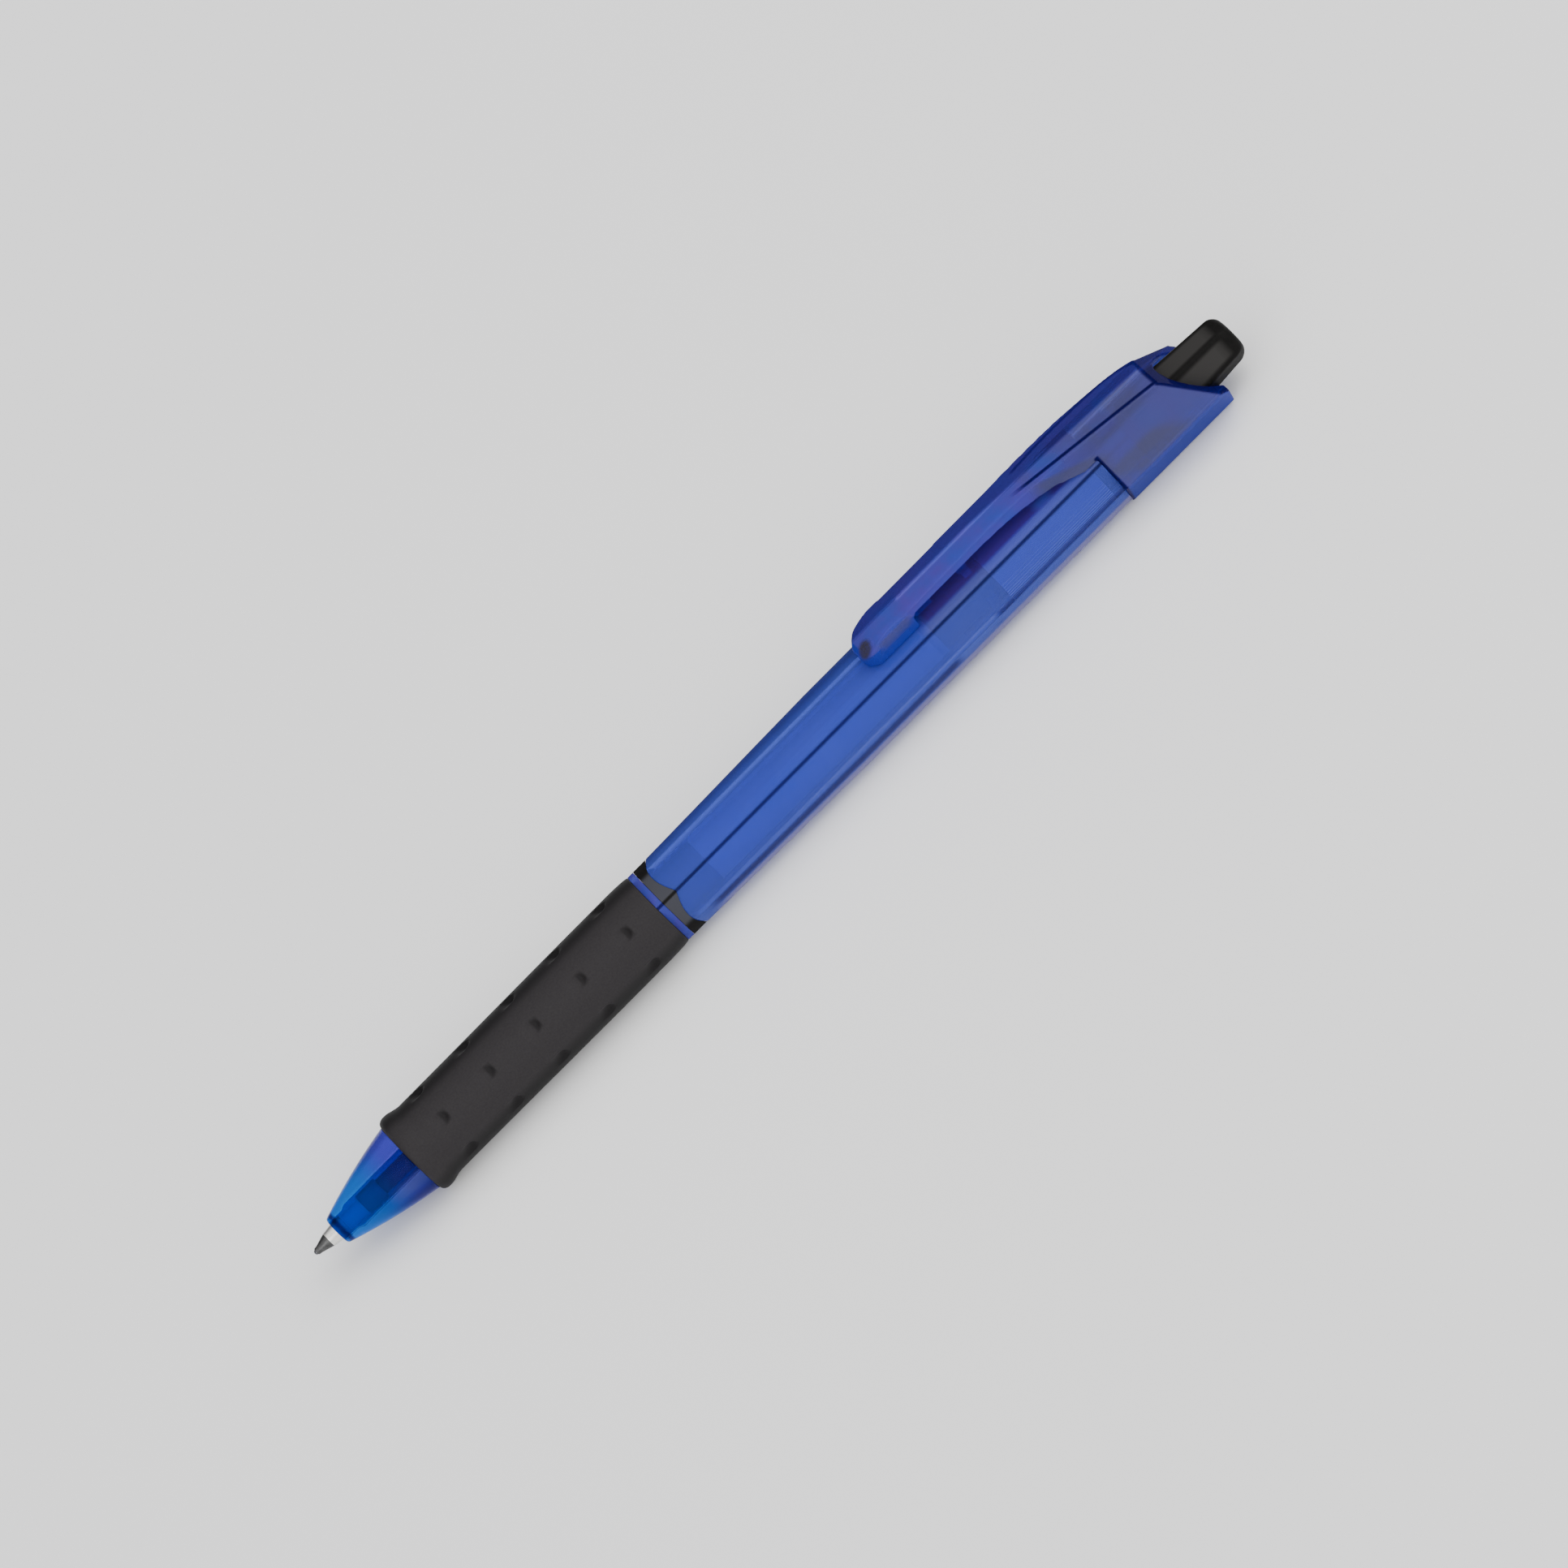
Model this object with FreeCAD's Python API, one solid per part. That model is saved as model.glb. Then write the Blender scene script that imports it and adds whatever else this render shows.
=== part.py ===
"""Retractable gel pen with a four-sided barrel, rubber grip and click mechanism.

The pen lies on its side: +X runs from the writing ball to the push button, the pocket clip
is on top (+Z), and the origin is under the middle of the pen, on the surface it lies on.
Every part is first built around the X axis, with stations measured in millimetres from the
writing ball, and is then moved into the pen's frame.
"""
import FreeCAD, Part
import math
import os

V = FreeCAD.Vector

# ---- Driving dimensions, in millimetres ----------------------------------------------------
LENGTH = 144.0             # writing ball to the end of the button, tip out
FLARE_RADIUS = 5.3         # lower lip of the grip, the widest round part of the pen
RUNNING_GAP = 0.1          # radial clearance of the parts that slide or turn
FACE_GAP = 0.05            # axial clearance between faces that meet across a joint

# Stations of the outer parts
NOSE_START = 3.5
GRIP_START = 15.1
GRIP_END = 53.9
RING_START = 54.8
PENCIL_START = 55.9        # where the conical seam of the trim ring cuts the facet centres
TAPER_END = 82.0
HOUSING_START = 123.2
HOUSING_END = 139.1
SPIGOT_END = 61.5

# Four-sided barrel: radius to its rounded edges, and facet height as a share of it
EDGE_RADIUS_LOW = 4.82
EDGE_RADIUS_HIGH = 5.24
FACET_SHARE = 0.84
EDGE_TRIM = 0.10           # how much of each sharp edge is turned off
PENCIL_SLOPE = 1.10        # axial rise of the conical seam per millimetre of radius

# Bores
BARREL_BORE = 3.45
FRONT_BORE = 2.95
MOUTH_BORE = 1.3
TIP_BORE = 1.6
SPRING_SEAT = 16.2
NECK_RADIUS = 4.0
NECK_END = 127.5
BUTTON_BORE = 3.95

# Rubber grip
GRIP_BORE = 4.0
GRIP_NECK_RADIUS = 4.95
GRIP_RADIUS = 5.03
DIMPLE_ROWS = 6
DIMPLES_PER_ROW = 5
DIMPLE_FIRST = 20.4
DIMPLE_PITCH = 7.15
DIMPLE_DEPTH = 0.38
DIMPLE_TURN = 38.3
DIMPLE_SPHERE = 3.0

# Threaded joint between the front section and the barrel
THREAD_PITCH = 1.25
THREAD_RIDGES = 4
THREAD_DEPTH = 0.22

# Housing and clip
HOUSING_RADIUS = 5.7       # to the corners of its hexagon
MOUTH_STATION = 138.3      # where the slanted mouth crosses the pen's axis
MOUTH_SLANT = 40.0         # degrees
CLIP_WIDTH = 4.6
SADDLE_WIDTH = 5.7
CLIP_SPLIT = 116.0         # where the sprung arm leaves the stiff fairing
CLIP_TIP = 89.0
CLIP_GAP = 0.12
CLIP_FOOT_START = 90.3
CLIP_FOOT_END = 96.6
CLIP_UNDERSIDE = 6.32      # height of the arm's underside above the axis

# Push button and mechanism
BUTTON_START = 128.9
BUTTON_SOCKET_END = 135.0
BUTTON_RADIUS = 3.75
BUTTON_END_RADIUS = 3.15
BUTTON_TAPER_START = 133.5
BUTTON_CORNER = 1.45
PLUNGER_START = 105.0
PLUNGER_RADIUS = 2.9
PLUNGER_BORE = 1.9
SLEEVE_START = 106.0
SLEEVE_END = 122.0
SLEEVE_BORE = 3.0
RIB_START = 110.3
RIB_COUNT = 4
RIB_WIDTH = 0.8
RIB_REACH = 2.65
TOOTH_COUNT = 8
TOOTH_HEIGHT = 0.7
ROTOR_START = 97.05
ROTOR_END = 104.2
ROTOR_RADIUS = 2.35
FIN_START = 99.5
FIN_TOP = 103.6

# Refill
TUBE_RADIUS = 2.7
TUBE_BORE = 2.3
TUBE_START = 29.0
TUBE_END = 96.0
REFILL_END = 97.0
INK_END = 78.0
GREASE_END = 82.0
BALL_RADIUS = 0.35
HOLDER_START = 2.2
HOLDER_END = 8.0
HOLDER_RADIUS = 1.18
HOLDER_TAIL_RADIUS = 0.72
HOLDER_NOSE_RADIUS = 0.97  # the collar widens from here to its full radius
CONE_RADIUS = 0.93
ADAPTER_START = 4.9
SHOULDER_START = 28.0
SHOULDER_RADIUS = 2.62

# Springs
SPRING_RADIUS = 2.43
SPRING_WIRE = 0.4
SPRING_TURNS = 8
BALL_SPRING_RADIUS = 0.32
BALL_SPRING_WIRE = 0.12


# ---- Helpers -------------------------------------------------------------------------------
def point(station, radius):
    """A point of a turned profile: distance from the ball, distance from the axis."""
    return V(station, 0, radius)


def line(start, end):
    return Part.LineSegment(point(*start), point(*end)).toShape()


def arc(start, middle, end):
    return Part.Arc(point(*start), point(*middle), point(*end)).toShape()


def turned(edges):
    """Revolve a closed profile of edges about the pen's axis."""
    face = Part.Face(Part.Wire(edges))
    return face.revolve(V(0, 0, 0), V(1, 0, 0), 360)


def turned_polygon(points):
    """Revolve a closed profile of straight lines about the pen's axis."""
    corners = points + [points[0]]
    return turned([line(a, b) for a, b in zip(corners, corners[1:])])


def rod(start, end, radius):
    return Part.makeCylinder(radius, end - start, V(start, 0, 0), V(1, 0, 0))


def tube(start, end, outer, inner):
    return rod(start, end, outer).cut(rod(start, end, inner))


def block(start, end, width, low, high):
    """A box about the plane Y = 0, between two stations and two heights."""
    return Part.makeBox(end - start, width, high - low, V(start, -width / 2, low))


def around(shape, count, first=0.0):
    """Copies of a shape turned about the pen's axis, as a list."""
    copies = []
    for index in range(count):
        turned_copy = shape.copy()
        turned_copy.rotate(V(0, 0, 0), V(1, 0, 0), first + 360.0 * index / count)
        copies.append(turned_copy)
    return copies


def polar(station, radius, angle):
    """A point at an angle from the top of the pen."""
    turn = math.radians(angle)
    return V(station, -radius * math.sin(turn), radius * math.cos(turn))


def four_sided_wire(station, edge_radius):
    """The barrel's section: four convex sides that meet at sharp edges."""
    facet = edge_radius * FACET_SHARE
    corner = edge_radius + EDGE_TRIM
    edges = []
    for side in range(4):
        middle = 90.0 * side
        edges.append(Part.Arc(polar(station, corner, middle - 45),
                              polar(station, facet, middle),
                              polar(station, corner, middle + 45)).toShape())
    return Part.Wire(edges)


def barrel_form(start, end):
    """Solid of the four-sided barrel between two stations, edges slightly turned off."""
    wires = [four_sided_wire(GRIP_END, EDGE_RADIUS_LOW),
             four_sided_wire(TAPER_END, EDGE_RADIUS_HIGH),
             four_sided_wire(HOUSING_START, EDGE_RADIUS_HIGH)]
    form = Part.makeLoft(wires, True, True)
    trim = turned_polygon([(GRIP_END, 0), (GRIP_END, EDGE_RADIUS_LOW),
                           (TAPER_END, EDGE_RADIUS_HIGH),
                           (HOUSING_START, EDGE_RADIUS_HIGH), (HOUSING_START, 0)])
    return form.common(trim).common(rod(start, end, 2 * EDGE_RADIUS_HIGH))


def pencil_form(shift):
    """Everything above the conical seam between trim ring and barrel."""
    wide = 6.5
    apex = PENCIL_START - EDGE_RADIUS_LOW * FACET_SHARE * PENCIL_SLOPE + shift
    return turned_polygon([(apex, 0), (apex + wide * PENCIL_SLOPE, wide),
                           (LENGTH, wide), (LENGTH, 0)])


def hexagon_form(start, end, start_radius, end_radius):
    """Six-sided prism or taper with one flat side on top and one below."""
    wires = []
    for station, radius in ((start, start_radius), (end, end_radius)):
        corners = [polar(station, radius, 30 + 60 * side) for side in range(6)]
        wires.append(Part.makePolygon(corners + [corners[0]]))
    return Part.makeLoft(wires, True, True)


# ---- Front section -------------------------------------------------------------------------
def nose_cone():
    """Front half of the body: nose, sleeve under the grip, flange and threaded spigot."""
    shell = turned([
        line((NOSE_START, MOUTH_BORE), (NOSE_START, 1.5)),
        arc((NOSE_START, 1.5), (3.58, 1.72), (3.8, 1.86)),
        arc((3.8, 1.86), (9.0, 3.37), (GRIP_START - FACE_GAP, 4.62)),
        line((GRIP_START - FACE_GAP, 4.62), (GRIP_START - FACE_GAP, GRIP_BORE)),
        line((GRIP_START - FACE_GAP, GRIP_BORE), (RING_START - FACE_GAP, GRIP_BORE)),
        line((RING_START - FACE_GAP, GRIP_BORE), (RING_START - FACE_GAP, 3.1)),
        line((RING_START - FACE_GAP, 3.1), (SPIGOT_END, 3.1)),
        line((SPIGOT_END, 3.1), (SPIGOT_END, FRONT_BORE)),
        line((SPIGOT_END, FRONT_BORE), (SPRING_SEAT, FRONT_BORE)),
        line((SPRING_SEAT, FRONT_BORE), (SPRING_SEAT, TIP_BORE)),
        line((SPRING_SEAT, TIP_BORE), (6.2, TIP_BORE)),
        line((6.2, TIP_BORE), (5.6, MOUTH_BORE)),
        line((5.6, MOUTH_BORE), (NOSE_START, MOUTH_BORE)),
    ])
    flange = barrel_form(GRIP_END + FACE_GAP, RING_START - FACE_GAP)
    flange = flange.cut(rod(GRIP_START, SPIGOT_END, GRIP_BORE - 0.5))
    crest = BARREL_BORE - RUNNING_GAP
    ridges = []
    for turn in range(THREAD_RIDGES):
        middle = SPIGOT_END - 0.9 - THREAD_PITCH * turn
        root = crest - THREAD_DEPTH
        ridges.append(turned_polygon([(middle - 0.45, 3.0), (middle - 0.45, root),
                                      (middle - 0.15, crest), (middle + 0.15, crest),
                                      (middle + 0.45, root), (middle + 0.45, 3.0)]))
    return shell.fuse([flange] + ridges).removeSplitter()


def rubber_grip():
    """Soft sleeve with a flared lower lip and rows of oval dimples."""
    sleeve = turned([
        line((GRIP_START, GRIP_BORE), (GRIP_START, 4.75)),
        arc((GRIP_START, 4.75), (15.38, 5.15), (16.0, FLARE_RADIUS)),
        arc((16.0, FLARE_RADIUS), (16.45, 5.28), (16.9, 5.2)),
        line((16.9, 5.2), (17.9, GRIP_NECK_RADIUS + 0.03)),
        arc((17.9, GRIP_NECK_RADIUS + 0.03), (18.4, GRIP_NECK_RADIUS - 0.01),
            (19.0, GRIP_NECK_RADIUS)),
        line((19.0, GRIP_NECK_RADIUS), (50.4, GRIP_RADIUS)),
        arc((50.4, GRIP_RADIUS), (52.9, 4.98), (GRIP_END - 0.1, 4.86)),
        line((GRIP_END - 0.1, 4.86), (GRIP_END, 4.75)),
        line((GRIP_END, 4.75), (GRIP_END, GRIP_BORE)),
        line((GRIP_END, GRIP_BORE), (GRIP_START, GRIP_BORE)),
    ])
    reach = GRIP_RADIUS - DIMPLE_DEPTH + DIMPLE_SPHERE
    dimples = []
    for index in range(DIMPLES_PER_ROW):
        station = DIMPLE_FIRST + DIMPLE_PITCH * index
        ball = Part.makeSphere(DIMPLE_SPHERE, V(station, 0, reach))
        dimples += around(ball, DIMPLE_ROWS, DIMPLE_TURN)
    return sleeve.cut(Part.makeCompound(dimples))


def trim_ring():
    """Black ring between the front section and the barrel, scalloped by its conical seat."""
    ring = barrel_form(RING_START, RING_START + 3.2).cut(pencil_form(0.0))
    return ring.cut(rod(GRIP_END, SPIGOT_END, BARREL_BORE))


# ---- Barrel, housing and clip --------------------------------------------------------------
def rear_barrel():
    """Translucent four-sided barrel with a round neck that the housing is pressed on."""
    outside = barrel_form(RING_START, HOUSING_START).common(pencil_form(2 * FACE_GAP))
    neck = rod(HOUSING_START - 1.0, NECK_END, NECK_RADIUS)
    return outside.fuse(neck).cut(rod(GRIP_END, NECK_END + 1.0, BARREL_BORE))


def clip_side_face():
    """Side view of clip and fairing: everything between their upper and lower outlines."""
    top = Part.BSplineCurve()
    top.interpolate([point(95.5, 7.42), point(104.0, 7.5), point(112.0, 7.56),
                     point(120.0, 7.26), point(127.0, 6.6), point(131.5, 5.95),
                     point(134.5, 5.0)])
    under = Part.BSplineCurve()
    under.interpolate([point(HOUSING_START, 3.3), point(118.0, 5.05), point(113.0, 5.95),
                       point(108.0, CLIP_UNDERSIDE)])
    edges = [
        top.toShape(),
        line((134.5, 5.0), (134.5, 3.3)),
        line((134.5, 3.3), (HOUSING_START, 3.3)),
        under.toShape(),
        line((108.0, CLIP_UNDERSIDE), (CLIP_FOOT_END + 0.5, CLIP_UNDERSIDE)),
        line((CLIP_FOOT_END + 0.5, CLIP_UNDERSIDE), (CLIP_FOOT_END, 5.9)),
        line((CLIP_FOOT_END, 5.9), (CLIP_FOOT_END, 3.6)),
        line((CLIP_FOOT_END, 3.6), (CLIP_FOOT_START, 3.6)),
        arc((CLIP_FOOT_START, 3.6), (89.3, 4.7), (89.35, 5.8)),
        arc((89.35, 5.8), (91.4, 7.05), (95.5, 7.42)),
    ]
    return Part.Face(Part.Wire(edges))


def clip_plan():
    """Seen from above, the clip is a band that widens towards the housing."""
    half = CLIP_WIDTH / 2
    wide = SADDLE_WIDTH / 2
    outline = [V(CLIP_TIP + 1.7, -half, 0), V(112.0, -half, 0), V(HOUSING_START, -wide, 0),
               V(135.0, -wide, 0), V(135.0, wide, 0), V(HOUSING_START, wide, 0),
               V(112.0, half, 0), V(CLIP_TIP + 1.7, half, 0)]
    edges = [Part.LineSegment(a, b).toShape() for a, b in zip(outline, outline[1:])]
    edges.append(Part.Arc(outline[-1], V(CLIP_TIP, 0, 0), outline[0]).toShape())
    return Part.Face(Part.Wire(edges)).extrude(V(0, 0, 12))


def clip_form():
    """Clip and fairing as one form, as they are moulded, clear of the barrel."""
    side = clip_side_face()
    side.translate(V(0, -6, 0))
    band = side.extrude(V(0, 12, 0)).common(clip_plan())
    return band


def fairing_form():
    """The housing's two upper flanks, drawn out along the barrel under the clip."""
    hexagon = hexagon_form(106.0, HOUSING_START + 1.0, HOUSING_RADIUS, HOUSING_RADIUS)
    side = clip_side_face()
    side.translate(V(0, -8, 0))
    return hexagon.common(side.extrude(V(0, 16, 0)))


def clip_and_fairing():
    form = clip_form().fuse(fairing_form())
    return form.cut(barrel_clearance())


def barrel_clearance():
    """The barrel's outside with a gap, cut out of whatever is laid over it."""
    gap = 0.15
    wires = [four_sided_wire(station, EDGE_RADIUS_HIGH + gap) for station in (85.0, 125.0)]
    return Part.makeLoft(wires, True, True)


def top_housing():
    """Six-sided head with a slanted mouth, and the fairing that carries the clip."""
    head = hexagon_form(HOUSING_START, HOUSING_END, HOUSING_RADIUS, HOUSING_RADIUS)
    fairing = clip_and_fairing().common(block(CLIP_SPLIT, 136.0, 20, 0, 12))
    body = head.fuse(fairing)
    # The mouth is cut on a slant, lowest on the clip's side.
    slant = Part.makeBox(20, 20, 40, V(0, -10, -20))
    slant.rotate(V(0, 0, 0), V(0, 1, 0), -MOUTH_SLANT)
    slant.translate(V(MOUTH_STATION, 0, 0))
    body = body.cut(slant)
    body = body.cut(rod(HOUSING_START - 8.0, NECK_END + 0.3, NECK_RADIUS))
    body = body.cut(rod(NECK_END, HOUSING_END + 1.0, BUTTON_BORE))
    return body.removeSplitter()


def clip_arm():
    """Sprung arm of the clip, with a rounded end and a foot that follows the barrel."""
    return clip_and_fairing().common(block(CLIP_TIP - 1, CLIP_SPLIT - CLIP_GAP, 20, 0, 12))


# ---- Push button and click mechanism -------------------------------------------------------
def push_button():
    """Six-sided tapered cap with a rounded end, hollow for the plunger."""
    lower = hexagon_form(BUTTON_START, BUTTON_TAPER_START, BUTTON_RADIUS, BUTTON_RADIUS)
    upper = hexagon_form(BUTTON_TAPER_START, LENGTH, BUTTON_RADIUS, BUTTON_END_RADIUS)
    corner = BUTTON_CORNER
    rim = BUTTON_END_RADIUS
    dome = turned([
        line((BUTTON_START, 0), (BUTTON_START, 4.2)),
        line((BUTTON_START, 4.2), (BUTTON_TAPER_START, BUTTON_RADIUS - 0.02)),
        line((BUTTON_TAPER_START, BUTTON_RADIUS - 0.02), (LENGTH - corner, rim)),
        arc((LENGTH - corner, rim), (LENGTH - corner * 0.35, rim - corner * 0.28),
            (LENGTH - 0.12, rim - corner)),
        arc((LENGTH - 0.12, rim - corner), (LENGTH - 0.03, (rim - corner) / 2), (LENGTH, 0)),
        line((LENGTH, 0), (BUTTON_START, 0)),
    ])
    socket = rod(BUTTON_START - 1, BUTTON_SOCKET_END, PLUNGER_BORE + 0.3)
    return lower.fuse(upper).common(dome).cut(socket)


def saw_teeth(start, end, reach):
    """Wedge cutters that leave a ring of pointed teeth at one end of a tube."""
    width = 2 * math.pi * PLUNGER_RADIUS / TOOTH_COUNT / 2
    notch = Part.Face(Part.makePolygon([V(start, -width / 2, 0), V(end, 0, 0),
                                        V(start, width / 2, 0), V(start, -width / 2, 0)]))
    return around(notch.extrude(V(0, 0, reach)), TOOTH_COUNT)


def plunger_tube():
    """Tube that carries the click: toothed crown below, spigot in the button above."""
    outline = tube(PLUNGER_START, BUTTON_START - FACE_GAP, PLUNGER_RADIUS, PLUNGER_BORE)
    spigot = tube(BUTTON_START - 2.0, BUTTON_SOCKET_END - 0.5, PLUNGER_BORE + 0.3,
                  PLUNGER_BORE - 0.4)
    grooves = around(block(PLUNGER_START - 1, 126.0, RIB_WIDTH + 0.4, 2.4, 3.2), RIB_COUNT)
    crown = saw_teeth(PLUNGER_START - 0.01, PLUNGER_START + TOOTH_HEIGHT, 4.0)
    return outline.fuse(spigot).cut(Part.makeCompound(grooves)).cut(crown)


def cam_sleeve():
    """Fixed sleeve in the barrel whose ribs guide the plunger and catch the rotor."""
    sleeve = tube(SLEEVE_START, SLEEVE_END, BARREL_BORE, SLEEVE_BORE)
    rib = block(RIB_START, SLEEVE_END, RIB_WIDTH, RIB_REACH, SLEEVE_BORE + 0.2)
    return sleeve.fuse(around(rib, RIB_COUNT))


def cam_rotor():
    """Turning cam that pushes the refill: finned drum with slanted fin tops and a pin."""
    drum = tube(ROTOR_START, ROTOR_END - 0.4, ROTOR_RADIUS, 0.9)
    floor = rod(ROTOR_START, ROTOR_START + 1.5, ROTOR_RADIUS)
    pilot = rod(ROTOR_START + 1.0, ROTOR_END + 2.5, PLUNGER_BORE - 0.6)
    fin = block(FIN_START, FIN_TOP, 0.9, ROTOR_RADIUS - 0.2, PLUNGER_RADIUS)
    slope = block(FIN_TOP - 0.1, FIN_TOP + 2, 3.0, 1.0, 4.0)
    slope.rotate(V(FIN_TOP - 0.1, -0.45, 0), V(0, 0, 1), -32.0)
    fins = around(fin.cut(slope), RIB_COUNT, 45.0)
    return drum.fuse([floor, pilot] + fins)


# ---- Refill --------------------------------------------------------------------------------
def ball_centre():
    return V(BALL_RADIUS, 0, 0)


def writing_ball():
    return Part.makeSphere(BALL_RADIUS, ball_centre())


def tip_cone():
    """Steel point that holds the ball, with a bore for ink and for the ball's spring."""
    point_body = turned_polygon([(0.3, 0), (0.3, 0.43), (0.75, 0.5), (HOLDER_START, CONE_RADIUS),
                                 (HOLDER_START + 1.6, CONE_RADIUS), (HOLDER_START + 1.6, 0)])
    socket = Part.makeSphere(BALL_RADIUS + 0.01, ball_centre())
    channel = rod(0.5, 4.2, 0.18).fuse(rod(1.0, 4.2, BALL_SPRING_RADIUS + 0.1))
    return point_body.cut(socket).cut(channel)


def ball_spring():
    """Fine spring behind the ball, which keeps the point sealed while the pen isn't writing."""
    return spring_coil(1.1, 4.6, BALL_SPRING_RADIUS - BALL_SPRING_WIRE / 2, BALL_SPRING_WIRE, 7)


def tip_holder():
    """Nickel-silver collar round the point, with a tail in the adapter."""
    seat = HOLDER_START + 1.6
    return turned_polygon([(HOLDER_START, CONE_RADIUS), (HOLDER_START, HOLDER_NOSE_RADIUS),
                           (HOLDER_START + 1.7, HOLDER_RADIUS), (ADAPTER_START, HOLDER_RADIUS),
                           (ADAPTER_START, HOLDER_TAIL_RADIUS),
                           (HOLDER_END, HOLDER_TAIL_RADIUS), (HOLDER_END, 0.45),
                           (seat, 0.45), (seat, CONE_RADIUS)])


def refill_adapter():
    """Plastic front of the refill: socket for the tip, spring land and tube plug."""
    profile = [(ADAPTER_START, HOLDER_TAIL_RADIUS), (ADAPTER_START, 1.03), (7.7, 1.03),
               (7.7, 1.35), (10.5, 1.35), (10.5, 1.05), (17.6, 1.05), (18.2, 1.9),
               (SHOULDER_START, 1.9),
               (SHOULDER_START, SHOULDER_RADIUS), (TUBE_START, SHOULDER_RADIUS),
               (TUBE_START, TUBE_BORE), (32.0, TUBE_BORE), (32.0, 1.2), (18.8, 1.2),
               (18.0, 0.5), (HOLDER_END, 0.5), (HOLDER_END, HOLDER_TAIL_RADIUS)]
    return turned_polygon(profile)


def ink_tube():
    return tube(TUBE_START, TUBE_END, TUBE_RADIUS, TUBE_BORE)


def gel_ink():
    """Column of ink between the adapter and the follower."""
    return rod(32.0, INK_END, TUBE_BORE).fuse(rod(18.8, 32.0, 1.2))


def follower_grease():
    """Clear follower with a dished end that keeps the ink from drying or running out."""
    slug = rod(INK_END, GREASE_END, TUBE_BORE)
    return slug.cut(Part.makeSphere(3.6, V(GREASE_END + 3.0, 0, 0)))


def tail_plug():
    """Vented plug in the tail of the refill, pushed by the cam rotor."""
    flange = rod(TUBE_END, REFILL_END, TUBE_RADIUS)
    stem = rod(92.5, TUBE_END, TUBE_BORE)
    return flange.fuse(stem).cut(rod(90.0, 99.0, 0.5))


# ---- Springs -------------------------------------------------------------------------------
def spring_coil(start, end, radius, wire, turns):
    """Round wire swept along a helix about the pen's axis."""
    height = end - start - wire
    helix = Part.makeHelix(height / turns, height, radius)
    section = Part.Wire(Part.makeCircle(wire / 2, V(radius, 0, 0), V(0, 1, 0)))
    coil = Part.Wire(helix).makePipeShell([section], True, True)
    coil.rotate(V(0, 0, 0), V(0, 1, 0), 90)
    coil.translate(V(start + wire / 2, 0, 0))
    return coil


def return_spring():
    return spring_coil(SPRING_SEAT, SHOULDER_START, SPRING_RADIUS, SPRING_WIRE, SPRING_TURNS)


# ---- Output --------------------------------------------------------------------------------
NODES = [nose_cone, rubber_grip, trim_ring, rear_barrel, top_housing, clip_arm, push_button,
         plunger_tube, cam_sleeve, cam_rotor, writing_ball, tip_cone, ball_spring, tip_holder,
         refill_adapter, ink_tube, gel_ink, follower_grease, tail_plug, return_spring]

os.makedirs("parts", exist_ok=True)
for make_node in NODES:
    solid = make_node()
    solid.translate(V(-LENGTH / 2, 0, FLARE_RADIUS))
    solid.exportStep("parts/" + make_node.__name__ + ".step")
    box = solid.BoundBox
    print("%-16s solids %d valid %s volume %9.3f  x %7.2f %7.2f  y %6.2f %6.2f  z %6.2f %6.2f"
          % (make_node.__name__, len(solid.Solids), solid.isValid(), solid.Volume,
             box.XMin, box.XMax, box.YMin, box.YMax, box.ZMin, box.ZMax))
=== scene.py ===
"""Looks of the retractable gel pen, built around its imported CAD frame.

Metres throughout. The pen lies along +X, writing ball first, with its clip on top. The ends of
the pieces come from the CAD nodes' boxes. Stations along the pen, radii and the shapes of the
surfaces are given in millimetres, stations from the writing ball.
"""
import math

import bmesh
import bpy
from mathutils import Matrix, Vector


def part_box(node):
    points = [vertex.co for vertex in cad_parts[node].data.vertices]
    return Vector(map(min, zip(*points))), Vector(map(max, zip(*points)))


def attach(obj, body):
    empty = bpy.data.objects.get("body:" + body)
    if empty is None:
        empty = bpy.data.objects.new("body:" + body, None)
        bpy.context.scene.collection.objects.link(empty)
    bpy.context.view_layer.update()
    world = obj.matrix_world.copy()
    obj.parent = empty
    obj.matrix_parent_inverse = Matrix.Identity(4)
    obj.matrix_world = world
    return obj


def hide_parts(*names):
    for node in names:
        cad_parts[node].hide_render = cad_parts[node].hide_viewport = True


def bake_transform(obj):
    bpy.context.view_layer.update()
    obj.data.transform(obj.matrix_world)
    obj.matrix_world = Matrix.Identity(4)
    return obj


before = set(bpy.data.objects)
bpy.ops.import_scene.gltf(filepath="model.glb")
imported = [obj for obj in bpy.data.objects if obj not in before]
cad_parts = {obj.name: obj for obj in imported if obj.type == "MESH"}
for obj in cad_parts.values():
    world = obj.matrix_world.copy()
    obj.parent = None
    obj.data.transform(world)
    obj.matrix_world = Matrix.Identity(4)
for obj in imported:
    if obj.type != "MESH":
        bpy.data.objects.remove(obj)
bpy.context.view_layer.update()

MM = 0.001

# ---- Places, from the frame ----------------------------------------------------------------
ball_low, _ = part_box("writing_ball")
tube_low, tube_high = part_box("ink_tube")
nose_low, nose_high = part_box("nose_cone")
grip_low, grip_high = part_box("rubber_grip")
ring_low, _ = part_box("trim_ring")
_, barrel_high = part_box("rear_barrel")
_, housing_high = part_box("top_housing")
_, clip_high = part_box("clip_arm")
button_low, button_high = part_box("push_button")
cone_low, cone_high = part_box("tip_cone")
holder_low, holder_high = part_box("tip_holder")

AXIS_Z = (tube_low.z + tube_high.z) / 2
TIP_X = ball_low.x
LENGTH = button_high.x - TIP_X
GRIP_RADIUS = (grip_high.z - grip_low.z) / 2      # at the flared lip

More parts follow.
